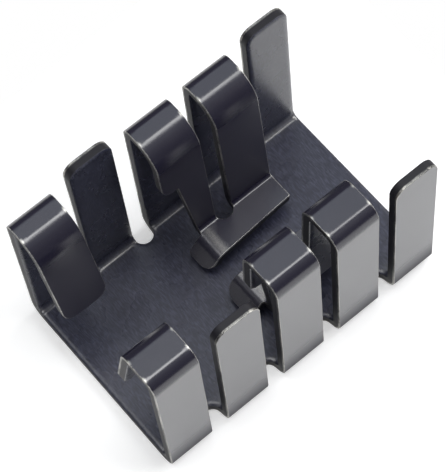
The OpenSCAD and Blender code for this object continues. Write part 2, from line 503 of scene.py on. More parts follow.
@dataclass(frozen=True)
class BlackAnodised:
    """Aluminium with a dyed black oxide, as a thin hard layer over rolled sheet.

    The dye takes nearly all the light that enters, so what the eye sees is the
    gloss of the oxide: weak face on, and bright at a low angle. The outer face
    was smoothed by the forming tools. The inner face keeps the rolling lines of
    the sheet. Specks of bright metal are painted glints along the burrs and at
    the corners of the hooks' creases, and painted highlights where the bars
    ease into their lips and, faintly, in the bends at the base. The same metal
    shows in a spot at the front end hook's tip.

    Colours are sRGB hex values, and spacings, sizes and depths are millimetres.
    The rolling lines are drawn coarser than real ones, so that they show. Their
    noise is scaled by line_squeeze along them, which draws it out. A range holds
    the values of a noise between which an effect sets in, and torn is how far
    the grain stands out on the faces and on the cut edges.
    """

    name: str = "black anodised aluminium"
    outer_dye: str = "1d1b2c"
    inner_dye: str = "2a2b39"
    line_dye: str = "46485a"
    edge_dye: str = "15141c"
    # bright metal of the painted glints and highlights, and of the spot at the front end hook's tip
    glint_and_wear_metal: str = "d8d6cf"
    outer_index: float = 1.8
    inner_index: float = 1.4
    edge_index: float = 1.45
    coat: float = 1.0
    coat_index: float = 1.35
    outer_roughness: float = 0.22
    inner_roughness: float = 0.27
    edge_roughness: float = 0.52
    # lower roughness of the painted highlight in the base bends
    bend_highlight_roughness: float = 0.17
    dull_roughness: float = 0.5
    glint_and_wear_roughness: float = 0.32
    unevenness: tuple[float, float] = (0.95, 1.08)
    # share of bright metal in the painted highlight of the base bends
    bend_highlight_metal: float = 0.14
    line_spacing: float = 0.055
    line_squeeze: float = 0.12
    line_drift: float = 0.3
    line_range: tuple[float, float] = (0.45, 0.65)
    cloud_size: float = 2.0
    cloud_range: tuple[float, float] = (0.3, 0.7)
    speck_size: float = 0.06
    relief_depth: float = 0.006
    relief_strength: float = 0.5
    torn: tuple[float, float] = (0.12, 0.9)
    # where and how strongly the painted glints along the burrs show
    burr_depths: tuple[float, float] = (0.17, 0.11)
    burr_edge: float = 0.05
    burr_range: tuple[float, float] = (0.82, 1.1)
    burr_glint: tuple[float, float] = (0.05, 0.75)
    # grain and noise range that break up the painted glints and highlights and the tip's spot
    glint_and_wear_grain: float = 0.8
    glint_and_wear_range: tuple[float, float] = (0.55, 1.1)

    def material(self) -> bpy.types.Material:
        """Builds the shader from the sheet's own coordinates and marks.

        Returns:
            The material.
        """
        made = bpy.data.materials.new(self.name)
        made.use_nodes = True
        tree = made.node_tree
        tree.nodes.clear()
        at = self.clues(tree)
        rough = self.roughness(tree, at)
        bump = self.relief(tree, at)
        index = add(tree, "ShaderNodeMix", NUMBERS, i0=at["inner"], i2=self.outer_index, i3=self.inner_index)
        index = add(tree, "ShaderNodeMix", NUMBERS, i0=at["cut_edge"], i2=index, i3=self.edge_index)
        coat = add(tree, "ShaderNodeMix", NUMBERS, i0=at["dulled"], i2=self.coat, i3=0.0)
        coat = add(tree, "ShaderNodeMix", NUMBERS, i0=at["cut_edge"], i2=coat, i3=0.0)
        oxide = add(
            tree,
            "ShaderNodeBsdfPrincipled",
            Base_Color=self.colour(tree, at),
            Roughness=rough,
            Normal=bump,
            Metallic=0.0,
            IOR=index,
            Coat_Weight=coat,
            Coat_IOR=self.coat_index,
            Coat_Roughness=rough,
            Coat_Normal=bump,
        )
        # bright metal, mixed in for the painted glints and highlights and for the spot at the tip
        metal = add(
            tree,
            "ShaderNodeBsdfPrincipled",
            Base_Color=linear(self.glint_and_wear_metal),
            Roughness=self.glint_and_wear_roughness,
            Metallic=1.0,
            Normal=bump,
        )
        shader = add(tree, "ShaderNodeMixShader", i0=self.glint_and_wear_share(tree, at), i1=oxide, i2=metal)
        add(tree, "ShaderNodeOutputMaterial", Surface=shader)
        return made

    def clues(self, tree: Tree) -> dict[str, Any]:
        """Adds what the finish is judged by: places, marks and noises.

        depth is the height in the sheet, from 0 on the outer face, and inner is
        1 on the inner face. The mesh carries four marks: the cut edges, the painted
        glints and highlights at the hooks' corners and the lips with the spot at the
        tip, the painted highlight in the base bends, and dulling. lines follow the
        rolling, cloud is coarse and grain is fine.

        Args:
            tree: Node tree.

        Returns:
            Output sockets and nodes by name.
        """
        blank = add(tree, "ShaderNodeAttribute", {"attribute_name": "blank_mm"}).outputs["Vector"]
        depth = add(tree, "ShaderNodeSeparateXYZ", Vector=blank).outputs["Z"]
        inner = add(tree, "ShaderNodeMapRange", Value=depth, **span(0.45 * SHEET, 0.55 * SHEET))
        at: dict[str, Any] = {"depth": depth, "inner": inner}
        for name in ("cut_edge", "glint_and_wear", "bend_highlight", "dulled"):
            at[name] = add(tree, "ShaderNodeAttribute", {"attribute_name": name}).outputs["Fac"]
        across = 1 / self.line_spacing
        scale = (across, self.line_squeeze * across, self.line_drift)
        drawn = add(tree, "ShaderNodeMapping", Vector=blank, Scale=scale)
        at["lines"] = add(tree, "ShaderNodeTexNoise", Vector=drawn, Scale=1.0, Detail=4.0, Roughness=0.65)
        at["cloud"] = add(tree, "ShaderNodeTexNoise", Vector=blank, Scale=1 / self.cloud_size, Detail=3.0)
        at["grain"] = add(tree, "ShaderNodeTexNoise", Vector=blank, Scale=1 / self.speck_size, Detail=2.0)
        return at

    def colour(self, tree: Tree, at: dict[str, Any]) -> Any:
        """Dye of the two faces, of the rolling lines and of the cut edges.

        Args:
            tree: Node tree.
            at: Clues.

        Returns:
            Output socket.
        """
        line = add(tree, "ShaderNodeMapRange", Value=at["lines"], **span(*self.line_range))
        scored = add(tree, "ShaderNodeMath", PRODUCT, i0=line, i1=at["inner"])
        dyes = (self.outer_dye, self.inner_dye, self.line_dye, self.edge_dye)
        outer, inner, drawn, edge = map(linear, dyes)
        face = add(tree, "ShaderNodeMix", COLOURS, i0=at["inner"], i6=outer, i7=inner).outputs[2]
        face = add(tree, "ShaderNodeMix", COLOURS, i0=scored, i6=face, i7=drawn).outputs[2]
        return add(tree, "ShaderNodeMix", COLOURS, i0=at["cut_edge"], i6=face, i7=edge).outputs[2]

    def roughness(self, tree: Tree, at: dict[str, Any]) -> bpy.types.Node:
        """Roughness of the faces, which is uneven, and of the marks on them.

        Args:
            tree: Node tree.
            at: Clues.

        Returns:
            Node with the roughness.
        """
        uneven = span(*self.cloud_range, *self.unevenness)
        cloudy = add(tree, "ShaderNodeMapRange", Value=at["cloud"], **uneven)
        outer, inner = self.outer_roughness, self.inner_roughness
        rough = add(tree, "ShaderNodeMix", NUMBERS, i0=at["inner"], i2=outer, i3=inner)
        rough = add(tree, "ShaderNodeMath", PRODUCT, i0=rough, i1=cloudy)
        marks = {
            "bend_highlight": self.bend_highlight_roughness,
            "dulled": self.dull_roughness,
            "cut_edge": self.edge_roughness,
        }
        for mark, level in marks.items():
            rough = add(tree, "ShaderNodeMix", NUMBERS, i0=at[mark], i2=rough, i3=level)
        return rough

    def relief(self, tree: Tree, at: dict[str, Any]) -> bpy.types.Node:
        """Relief of the rolling lines on the inner face and of the grain, strongest at cut edges.

        Args:
            tree: Node tree.
            at: Clues.

        Returns:
            Node with the normal.
        """
        rolled = add(tree, "ShaderNodeMath", PRODUCT, i0=at["lines"], i1=at["inner"])
        torn = add(tree, "ShaderNodeMapRange", Value=at["cut_edge"], **span(0.0, 1.0, *self.torn))
        height = add(tree, "ShaderNodeMath", PRODUCT_PLUS, i0=at["grain"], i1=torn, i2=rolled)
        depth = self.relief_depth * MM
        return add(tree, "ShaderNodeBump", Height=height, Strength=self.relief_strength, Distance=depth)

    def glint_and_wear_share(self, tree: Tree, at: dict[str, Any]) -> bpy.types.Node:
        """Share of bright metal: painted glints along the burrs and at the crease corners, painted highlights
        at the lips and in the base bends, and the spot at the tip.

        The burrs stand on the outer face's rim. Their painted glints show where a
        cloudy pattern lets them, and both these glints and the spots at corners,
        lips and tip are broken up by the grain.

        Args:
            tree: Node tree.
            at: Clues.

        Returns:
            Node with the share.
        """
        near_face = add(tree, "ShaderNodeMapRange", Value=at["depth"], **span(*self.burr_depths))
        on_cut = add(tree, "ShaderNodeMapRange", Value=at["cut_edge"], **span(0.0, self.burr_edge))
        rim = add(tree, "ShaderNodeMath", PRODUCT, i0=near_face, i1=on_cut)
        pattern = add(tree, "ShaderNodeMath", {"operation": "ADD"}, i0=at["cloud"], i1=at["grain"])
        shining = add(tree, "ShaderNodeMapRange", Value=pattern, **span(*self.burr_range, *self.burr_glint))
        burr = add(tree, "ShaderNodeMath", PRODUCT, i0=rim, i1=shining)
        grain, glint_and_wear = at["grain"], at["glint_and_wear"]
        speckled = add(tree, "ShaderNodeMath", PRODUCT_PLUS, i0=grain, i1=self.glint_and_wear_grain, i2=glint_and_wear)
        broken = add(tree, "ShaderNodeMapRange", Value=speckled, **span(*self.glint_and_wear_range))
        corner = add(tree, "ShaderNodeMath", PRODUCT, i0=glint_and_wear, i1=broken)
        bend = add(tree, "ShaderNodeMath", PRODUCT, i0=at["bend_highlight"], i1=self.bend_highlight_metal)
        glint_and_wear_metal = add(tree, "ShaderNodeMath", LARGER, i0=burr, i1=corner)
        return add(tree, "ShaderNodeMath", LARGER, i0=glint_and_wear_metal, i1=bend)


@dataclass(frozen=True)
class Filling:
    """How closely points fill the blank, in millimetres.

    The steps are outline round the outlines, across along x, straight and bend
    along a fin's path. A bar grows deeper toward its near end as its edge
    tapers, so the taper rows lie past its depth at the far end, and the near
    clip's points run on over the lip. Points keep clear of the rows along the
    edges, and points or levels that agree to their digits are one.
    """

    outline: float = 0.13
    across: float = 0.21
    straight: float = 0.3
    bend: float = 0.06
    base_rows: int = 22
    end_margin: float = 0.3
    taper_rows: tuple[float, ...] = (0.15, 0.3)
    lip_room: float = 1.4
    clear: float = 0.03
    edge_rows: int = 5
    lip_steps: int = 8
    lip_rows: int = 11
    lip_margin: float = 0.35
    ledge_points: int = 16
    ledge_span: tuple[float, float] = (-0.1, 0.6)
    level_digits: int = 5
    point_digits: int = 3


@dataclass(frozen=True)
class GlintsAndWear:
    """Where painted glints and highlights lie and the coating is dulled: reaches in millimetres, shares from
    0 to 1.

    Painted glints lie where creases meet the edges, and a painted highlight a
    little past the start of the lips; a spot of bright metal lies at the front
    end hook's tip. The walls' feet are dull up to foot_height over their bends,
    and the legs from leg_start past the fins' height on, over leg_fade.
    """

    edge_reach: float = 0.13
    crease_reach: float = 0.16
    tip_share: float = 0.8
    tip_reach: float = 0.7
    lip_share: float = 0.4
    lip_past: float = 0.25
    lip_reach: float = 0.35
    foot_height: float = 2.2
    foot_power: float = 1.5
    leg_share: float = 0.55
    leg_start: float = 1.5
    leg_fade: float = 2.0


@dataclass
class Skin:
    """Points of the sheet's surface, gathered before they are folded.

    A tilt is a direction by its parts along x, along s and toward the inner face.
    """

    points: list[Array] = field(default_factory=list)
    count: int = 0

    def put(
        self, flat: Array, height: Array | float, tilts: Array, cut: float, to_edge: Array | float
    ) -> Array:
        """Adds points.

        Args:
            flat: Points as rows of x and s.
            height: Their heights in the sheet.
            tilts: Directions in which the surface faces.
            cut: How far they belong to the cut edge, from 0 to 1.
            to_edge: Their distances from the nearest edge.

        Returns:
            The points' numbers.
        """
        size = len(flat)
        values = [np.broadcast_to(value, size) for value in (height, cut, to_edge)]
        self.points.append(np.column_stack([flat, values[0], tilts, *values[1:]]))
        self.count += size
        return np.arange(self.count - size, self.count)

    def columns(self) -> list[Array]:
        """All points: places on the blank with heights, tilts, cuts and distances from an edge."""
        return np.split(np.concatenate(self.points), [3, 6, 7], axis=1)


@dataclass
class FoldedSink:
    """The whole sink as one folded sheet.

    Edges are broken by edge_break. Shearing rolled the inner face's edges over,
    roll_width wide and roll_depth deep. Beside the leg a lip's drop is drawn
    out over draw_start and, at the lip's start, draw_reach more.
    """

    sizes: SinkSizes
    finish: BlackAnodised = field(default_factory=BlackAnodised)
    filling: Filling = field(default_factory=Filling)
    use: GlintsAndWear = field(default_factory=GlintsAndWear)
    edge_break: float = 0.035
    edge_steps: int = 3
    roll_width: float = 0.34
    roll_depth: float = 0.1
    draw_start: float = 0.06
    draw_reach: float = 0.5

    def top_runs(self, side: Side, slant: float, lean: float = 0.0) -> tuple[Run, ...]:
        """Runs of a hook from the base up its wall and over both top bends.

        Args:
            side: Row that it stands in.
            slant: Inward slant of the leg from the wall, in degrees.
            lean: Inward lean of the wall, in degrees.

        Returns:
            The runs in order.
        """
        size, row = self.sizes, self.sizes.row(side)
        drop = self.bend_drop(row.outer_crease, row.outer_bend, 90)
        wall = size.hook_height - drop - SHEET - size.base_bend
        return (
            Run(angle=math.radians(90 + lean), inside=size.base_bend),
            Run(length=wall),
            Run(angle=math.radians(90 - row.outer_crease), inside=row.outer_bend),
            Run(angle=math.radians(row.outer_crease), inside=size.crease_bend),
            Run(length=row.flat),
            Run(angle=math.radians(row.inner_crease), inside=size.crease_bend),
            Run(angle=math.radians(90 - slant - row.inner_crease), inside=row.inner_bend),
        )

    def bend_drop(self, crease: float, inside_radius: float, turn: float) -> float:
        """How far the outer face comes down from a flat top through a creased bend.

        Args:
            crease: Angle of the crease, in degrees.
            inside_radius: Inside radius of the rest of the bend.
            turn: Whole angle of the bend, in degrees.

        Returns:
            The drop in millimetres.
        """
        size, first, last = self.sizes, math.radians(crease), math.radians(turn)
        tight = (size.crease_bend + SHEET) * (1 - math.cos(first))
        return tight + (inside_radius + SHEET) * (math.cos(first) - math.cos(last))

    def leg_start(self, side: Side, slant: float) -> float:
        """Height at which a leg's outer face leaves the inner bend, before any lean."""
        row = self.sizes.row(side)
        return self.sizes.hook_height - self.bend_drop(row.inner_crease, row.inner_bend, 90 - slant)

    def path(self, fin: Fin, side: Side) -> FoldedPath:
        """Path of one kind of fin.

        Args:
            fin: Kind of fin.
            side: Row that it stands in.

        Returns:
            The path from the edge of the flat base.
        """
        size = self.sizes
        if fin is Fin.STRAIGHT:
            runs: tuple[Run, ...] = (
                Run(angle=math.pi / 2, inside=size.base_bend),
                Run(length=size.fin_height - SHEET - size.base_bend),
            )
        elif fin is Fin.END_HOOK:
            row = size.row(side)
            leg = (self.leg_start(side, row.slant) - row.tip) / math.cos(math.radians(row.slant))
            runs = (*self.top_runs(side, row.slant, row.lean), Run(length=leg))
        else:
            slant = math.radians(size.clip_slant)
            foot = size.bar_under + SHEET + size.bar_bend * (1 - math.sin(slant))
            leg = (self.leg_start(side, size.clip_slant) - foot) / math.cos(slant)
            runs = (
                *self.top_runs(side, size.clip_slant),
                Run(length=leg),
                Run(angle=slant - math.pi / 2, inside=size.bar_bend),
                Run(length=size.row(side).bar),
            )
        return FoldedPath(runs, size.half_flat)

    @property
    def lip_path(self) -> FoldedPath:
        """Path of a lip from the near end of its bar's flat, along -X and down."""
        size = self.sizes
        runs = (
            Run(angle=math.radians(size.ease_angle), inside=size.ease_bend),
            Run(angle=math.radians(size.lip_angle - size.ease_angle), inside=size.lip_bend),
            Run(length=size.lip_straight),
        )
        return FoldedPath(runs, 0.0)

    def row_corners(self, side: Side) -> tuple[list[Corner], list[Corner]]:
        """Corners of one row on the blank, from +X to -X, and of its window.

        A slot's end is round because both of its corners are rounded by almost
        half its width.

        Args:
            side: Row.

        Returns:
            The outer corners and the corners of the window between the two clip
            legs, with s measured outward from the middle of the base.
        """
        size, edge = self.sizes, self.sizes.half_flat
        x = [size.left(place) for place in range(len(ROW_ORDER))]
        w, half_slot = size.fin_width, size.slot / 2 - 1e-4
        slot_end = size.width / 2 - size.slot_depth
        straight = edge + self.path(Fin.STRAIGHT, side).stations()[Mark.END]
        hook = edge + self.path(Fin.END_HOOK, side).stations()[Mark.END]
        clip = edge + self.path(Fin.CLIP, side).stations()
        to_shoulder = self.leg_start(side, size.clip_slant) - size.shoulder_height
        shoulder = clip[Mark.LEG] + to_shoulder / math.cos(math.radians(size.clip_slant))
        lip_back = clip[Mark.BAR] + size.lip_relief
        lip_end = size.lip_start - self.lip_path.stations()[Mark.END]
        lip_edge = clip[Mark.END] + (x[3] + w - lip_end) * math.tan(math.radians(size.bar_taper))
        outer = [
            Corner(x[4] + w, straight, size.tip_round),
            Corner(x[4], straight, size.tip_round),
            Corner(x[4], slot_end, half_slot),
            Corner(x[3] + w, slot_end, half_slot),
            Corner(x[3] + w, clip[Mark.END], size.bar_round),
            Corner(lip_end, lip_edge, size.lip_round),
            Corner(lip_end, lip_back, size.lip_back_round),
            Corner(size.neck, lip_back, size.nick_round),
            Corner(size.neck, clip[Mark.FOOT_BEND], size.neck_round),
            Corner(x[2] + w - size.neck_top, shoulder, size.shoulder_round),
            Corner(x[2], shoulder, size.tip_round),
            Corner(x[2], slot_end, half_slot),
            Corner(x[1] + w, slot_end, half_slot),
            Corner(x[1] + w, straight, size.tip_round),
            Corner(x[1], straight, size.tip_round),
            Corner(x[1], slot_end, half_slot),
            Corner(x[0] + w, slot_end, half_slot),
            Corner(x[0] + w, hook, size.tip_round),
            Corner(x[0], hook, size.tip_round),
        ]
        notch = clip[Mark.BAR] + size.notch_depth
        window = [
            Corner(x[2] + w, slot_end, half_slot),
            Corner(x[2] + w, notch, half_slot),
            Corner(x[3], notch, half_slot),
            Corner(x[3], slot_end, half_slot),
        ]
        return outer, window

    def blank_loops(self) -> list[Array]:
        """The blank's outer line and its two windows, material on the left.

        Returns:
            Loops of points as rows of x and s.
        """
        back, back_window = self.row_corners(Side.BACK)
        front, front_window = (
            [Corner(c.x, -c.s, c.radius) for c in reversed(part)] for part in self.row_corners(Side.FRONT)
        )
        outlines = (back + front, back_window, front_window)
        return [rounded_loop(corners, self.filling.outline) for corners in outlines]

    def grid_points(self, loops: list[Array]) -> Array:
        """Points that fill the blank between its edges, closer on the bends.

        Args:
            loops: The blank's lines.

        Returns:
            Points as rows of x and s.
        """
        size, filling = self.sizes, self.filling
        end = size.length / 2 + filling.end_margin
        columns = np.arange(-end, end, filling.across)
        rows = np.linspace(-size.half_flat, size.half_flat, filling.base_rows)
        blocks = [mesh_points(columns, rows)]
        for side in Side:
            for place, fin in enumerate(ROW_ORDER):
                path = self.path(fin, side)
                marks = path.stations()
                levels = []
                for start, run in zip(marks, path.runs):
                    steps = math.ceil(run.extent / (filling.straight if run.angle == 0 else filling.bend))
                    levels.append(np.linspace(start, start + run.extent, max(2, steps)))
                if fin is Fin.CLIP:
                    levels.append(marks[Mark.END] + np.array(filling.taper_rows))
                level = np.unique(np.round(np.concatenate(levels), filling.level_digits))
                low = size.left(place) - size.slot / 2
                high = low + size.fin_width + size.slot
                if place == NEAR_CLIP:
                    low -= filling.lip_room
                across = np.linspace(low, high, math.ceil((high - low) / filling.across), endpoint=False)
                blocks.append(mesh_points(across, side.value * (size.half_flat + level)))
            blocks.append(self.lip_points(side))
        points = np.concatenate(blocks)
        _, first = np.unique(np.round(points, filling.point_digits), axis=0, return_index=True)
        points = points[np.sort(first)]
        shrunk = [loop + outward(loop)[1] * (self.roll_width + filling.clear) for loop in loops]
        return points[inside(points, shrunk)]

    def edge_rows(self, loops: list[Array], nearer: float = 0.98, batches: int = 8) -> tuple[Array, Array]:
        """Rows of points along the edges, which carry the shape of their rolled shoulder.

        A row's point is left out where another edge is nearer than its own.

        Args:
            loops: The blank's lines.
            nearer: Share of its own distance at which another edge counts as nearer.
            batches: Number of parts in which a row is tested.

        Returns:
            Points as rows of x and s, and for each its distance from the edge and
            the outward direction there.
        """
        corners = np.concatenate(loops)
        points: list[Array] = []
        details: list[Array] = []
        for loop in loops:
            unit, mitre = outward(loop)
            for inset in np.linspace(self.edge_break, self.roll_width, self.filling.edge_rows + 1)[1:]:
                row = loop + mitre * inset
                for part in np.array_split(np.arange(len(row)), batches):
                    gap = np.linalg.norm(row[part][:, None] - corners[None], axis=2).min(axis=1)
                    keep = part[gap > inset * nearer]
                    points.append(row[keep])
                    details.append(np.column_stack([np.full(len(keep), inset), unit[keep]]))
        return np.concatenate(points), np.concatenate(details)

    def shoulder(self, distance: Array) -> tuple[Array, Array]:
        """Shape of the shoulder that shearing rolls over at the inner face's edges.

        It is a quarter of an ellipse, roll_width wide and roll_depth deep.

        Args:
            distance: Distance from the edge.

        Returns:
            How far the face lies below the flat, and its slope as an angle.
        """
        share = np.clip(1 - distance / self.roll_width, 0, 1)
        rise = np.sqrt(np.maximum(1 - share**2, 1e-6))
        slope = self.roll_depth / self.roll_width * share / rise
        return self.roll_depth * (1 - rise), np.arctan(slope)

    def lip_points(self, side: Side) -> Array:
        """Closer points where the bar bends down into its lip.

        Args:
            side: Row.

        Returns:
            Points as rows of x and s.
        """
        size, filling = self.sizes, self.filling
        marks = size.half_flat + self.path(Fin.CLIP, side).stations()
        bar, end = marks[Mark.BAR], marks[Mark.END]
        _, eased, bent, _ = self.lip_path.stations()
        slow = np.linspace(0, eased, filling.lip_steps + 1)
        tight = np.linspace(eased, bent, filling.lip_steps + 1)[1:]
        bend_s = np.linspace(bar + size.lip_relief, end + filling.lip_margin, filling.lip_rows)
        bend = mesh_points(size.lip_start - np.concatenate([slow, tight]), bend_s)
        ledge_s = bar + np.linspace(*filling.ledge_span, filling.ledge_points)
        ledge = mesh_points(np.linspace(size.neck, size.lip_start, filling.ledge_points), ledge_s)
        return np.concatenate([bend, ledge]) * [1, side.value]

    def fold(self, blank: Array) -> tuple[Array, Array, Array, Array]:
        """Carries the blank's points to their places on the folded sink.

        The base stays flat, each point beyond it goes through the path of the
        nearest fin, and the lips are turned down last about their own bends.

        Args:
            blank: Points as rows of x, s and t.

        Returns:
            Places, and the directions along x, along s and toward the inner face.
        """
        size = self.sizes
        x, s, t = blank.T
        nearest = np.round((x - size.left(0) - size.fin_width / 2) / (size.fin_width + size.slot))
        place = np.clip(nearest, 0, len(ROW_ORDER) - 1).astype(int)
        spot = blank.copy()
        e_x, e_s, e_n = (np.tile(direction, (len(x), 1)) for direction in np.eye(3))
        for side in Side:
            u = side.value * s - size.half_flat
            flip = np.array([side.value, 1.0])
            leg = self.path(Fin.CLIP, side).stations()[Mark.LEG]
            on_leg = (np.abs(x - size.left(NEAR_CLIP)) < size.fin_width / 2) & (u > leg)
            own = np.where(on_leg, NEAR_CLIP, place)
            for at, fin in enumerate(ROW_ORDER):
                here = (u > 0) & (own == at)
                points, along, normal = self.path(fin, side).fold(u[here], t[here])
                spot[here, 1:] = points * flip
                e_s[here, 1:] = along * flip * side.value
                e_n[here, 1:] = normal * flip
            self.turn_lip(side, x, u, t, spot, e_x, e_n)
        return spot, e_x, e_s, e_n

    def turn_lip(self, side: Side, x: Array, u: Array, t: Array, spot: Array, e_x: Array, e_n: Array) -> None:
        """Bends the near end of a bar down into its lip, in place.

        A point at distance q past the start of the lip is carried along the
        lip's own path, which runs toward -X with its bends turning down. Beside
        the foot of the leg the drop is eased in over a short stretch, where the
        real sheet is drawn out between the two bends.

        Args:
            side: Row.
            x: The points' x on the blank.
            u: Their distances along the clip's path.
            t: Their heights in the sheet.
            spot: Their places, which are changed.
            e_x: Directions along x, which are changed.
            e_n: Directions toward the inner face, which are changed.
        """
        size = self.sizes
        bar = self.path(Fin.CLIP, side).stations()[Mark.BAR]
        here = (u > bar) & (x < size.lip_start)
        q = size.lip_start - x[here]
        points, along, _ = self.lip_path.fold(q, t[here])
        reach = self.draw_start + self.draw_reach * smooth(x[here], size.neck, size.lip_start)
        share = np.where(x[here] < size.neck, 1.0, smooth(u[here] - bar, 0.0, reach))
        spot[here, 0] -= (points[:, 0] - q) * share
        spot[here, 2] -= (points[:, 1] - t[here]) * share
        tilt = np.arctan2(along[:, 1], along[:, 0]) * share
        e_x[here] = np.stack([np.cos(tilt), np.zeros_like(tilt), np.sin(tilt)], axis=1)
        e_n[here] = np.stack([np.sin(tilt), np.zeros_like(tilt), -np.cos(tilt)], axis=1)

    def build(self) -> bpy.types.Object:
        """Builds the folded sheet with its broken edges.

        Both faces share one filling of the blank, set back from the outline by
        the edge break. Between them a strip runs round each outline.

        Returns:
            The finished object.
        """
        loops = self.blank_loops()
        corners = [outward(loop) for loop in loops]
        face_loops = [loop + mitre * self.edge_break for loop, (_, mitre) in zip(loops, corners)]
        rows, row_details = self.edge_rows(loops)
        grid = self.grid_points(loops)
        on_rim = [np.column_stack([np.full(len(unit), self.edge_break), unit]) for unit, _ in corners]
        on_flat = np.column_stack([np.full(len(grid), self.roll_width), np.zeros((len(grid), 2))])
        details = np.concatenate([*on_rim, row_details, on_flat])
        flat, triangles, stands_for, source = self.fill(np.concatenate([*face_loops, rows, grid]), face_loops)
        distance, way = details[source, 0], details[source, 1:]

        skin = Skin()
        below, slope = self.shoulder(distance)
        inner_tilts = np.column_stack([way * np.sin(slope)[:, None], np.cos(slope)])
        outer_tilts = np.tile([0.0, 0.0, -1.0], (len(flat), 1))
        inner = skin.put(flat, SHEET - below, inner_tilts, 0.0, distance)
        outer = skin.put(flat, 0.0, outer_tilts, 0.0, distance)
        quads: list[Array] = []
        start = 0
        for loop, (unit, mitre) in zip(loops, corners):
            rim = stands_for[start : start + len(loop)]
            start += len(loop)
            rings = [inner[rim], *self.cut_edge(skin, loop, unit, mitre), outer[rim]]
            for first, second in zip(rings[:-1], rings[1:]):
                quads.append(np.stack([first, second, np.roll(second, -1), np.roll(first, -1)], axis=1))

        blank, tilts, cut, to_edge = skin.columns()
        spot, *directions = self.fold(blank)
        normals = sum(tilts[:, k : k + 1] * direction for k, direction in enumerate(directions))
        # marks: cut edges, painted glints and highlights with the spot at the tip, the painted highlight in
        # the base bends, and dulling
        marks = {
            "cut_edge": cut[:, 0],
            "glint_and_wear": self.glint_and_wear_mask(blank, to_edge[:, 0]),
            "bend_highlight": self.bend_highlight_mask(blank),
            "dulled": self.dull(blank),
        }
        faces = [inner[triangles], outer[triangles[:, ::-1]]]
        return self.write(spot, normals, faces, quads, blank, marks)

    def fill(
        self, sites: Array, loops: list[Array], touching: float = 1e-7
    ) -> tuple[Array, Array, Array, Array]:
        """Fills the blank with triangles between given points.

        Args:
            sites: Points as rows of x and s, those of the loops first.
            loops: Lines that bound the filling.
            touching: Distance under which two points are one.

        Returns:
            The filling's points, its triangles with the inner face up, the
            point that stands for each site, and each point's site.
        """
        starts = np.cumsum([0, *map(len, loops)])
        rings = [start + np.arange(len(loop)) for start, loop in zip(starts, loops)]
        edges = np.concatenate([np.stack([ring, np.roll(ring, -1)], axis=1) for ring in rings])
        filled = delaunay_2d_cdt([Vector(p) for p in sites.tolist()], edges.tolist(), [], 0, touching)
        flat = np.array([p[:] for p in filled[0]])
        triangles = np.array([f[:] for f in filled[2] if len(f) == 3])
        triangles = triangles[inside(flat[triangles].mean(axis=1), loops)]
        a, b, c = (flat[triangles[:, k]] for k in range(3))
        turned = (b[:, 0] - a[:, 0]) * (c[:, 1] - a[:, 1]) - (b[:, 1] - a[:, 1]) * (c[:, 0] - a[:, 0]) < 0
        triangles[turned] = triangles[turned][:, ::-1]
        stands_for = np.full(len(sites), -1)
        source = np.zeros(len(flat), dtype=int)
        for new, sources in enumerate(filled[3]):
            stands_for[list(sources)] = new
            source[new] = sources[0] if sources else 0
        return flat, triangles, stands_for, source

    def cut_edge(self, skin: Skin, loop: Array, unit: Array, mitre: Array) -> list[Array]:
        """Adds the points down one cut edge: a quarter round at each face and the cut between.

        At an angle a on a quarter round of radius b a point lies b(1 - sin a)
        inside the outline and b(1 - cos a) below its face.

        Args:
            skin: The surface, which is added to.
            loop: The edge's outline.
            unit: Outward directions along it.
            mitre: Inward steps along it.

        Returns:
            The numbers of the points, ring by ring from the inner face.
        """
        rim_below, rim_slope = (float(value[0]) for value in self.shoulder(np.array([self.edge_break])))
        angles = np.linspace(0, math.pi / 2, self.edge_steps + 1)[1:]
        rings = []
        for is_inner in (True, False):
            for angle in angles if is_inner else angles[::-1]:
                inset = self.edge_break * (1 - math.sin(angle))
                down = self.edge_break * (1 - math.cos(angle))
                height = SHEET - rim_below - down if is_inner else down
                tilt = rim_slope + (1 - 2 * rim_slope / math.pi) * angle if is_inner else angle
                up = math.cos(tilt) if is_inner else -math.cos(tilt)
                tilts = np.column_stack([unit * math.sin(tilt), np.full(len(loop), up)])
                rings.append(skin.put(loop + mitre * inset, height, tilts, math.sin(angle) ** 2, 0.0))
        return rings

    def glint_and_wear_mask(self, blank: Array, to_edge: Array) -> Array:
        """How much bright metal shows at the corners of the hooks' tops, as painted glints.

        The painted glints are strongest where a crease of a hook's top meets a cut
        edge and fall off as a bell curve both along the edge and away from it. The
        free tip of the front end hook has a spot at its near corner too, and the bars
        carry a painted highlight where they ease down into their lips.

        Args:
            blank: Points as rows of x, s and t.
            to_edge: Distance of each point from the nearest cut edge.

        Returns:
            Share of bright metal from 0 to 1.
        """
        size, use = self.sizes, self.use
        x, s, t = blank.T
        outside = t < SHEET / 2
        glint_and_wear = np.zeros(len(blank))
        near_edge = np.exp(-((to_edge / use.edge_reach) ** 2)) * outside
        # painted glints at the corners where the hooks' creases meet the cut edges
        for side in Side:
            u = side.value * s - size.half_flat
            for place, fin in enumerate(ROW_ORDER):
                if fin is Fin.STRAIGHT:
                    continue
                own = np.abs(x - size.left(place) - size.fin_width / 2) < (size.fin_width + size.slot) / 2
                marks = self.path(fin, side).stations()
                ends = (Mark.TOP, Mark.INNER_CREASE) if side is Side.FRONT else (Mark.INNER_CREASE,)
                for crease in marks[list(ends)]:
                    along = np.exp(-(((u - crease) / use.crease_reach) ** 2))
                    glint_and_wear = np.maximum(glint_and_wear, own * near_edge * along)
        # spot of bright metal at the near corner of the front end hook's tip
        tip = self.path(Fin.END_HOOK, Side.FRONT).stations()[Mark.END]
        corner = np.hypot(x - size.left(0), -s - size.half_flat - tip)
        glint_and_wear = np.maximum(glint_and_wear, use.tip_share * np.exp(-((corner / use.tip_reach) ** 2)))
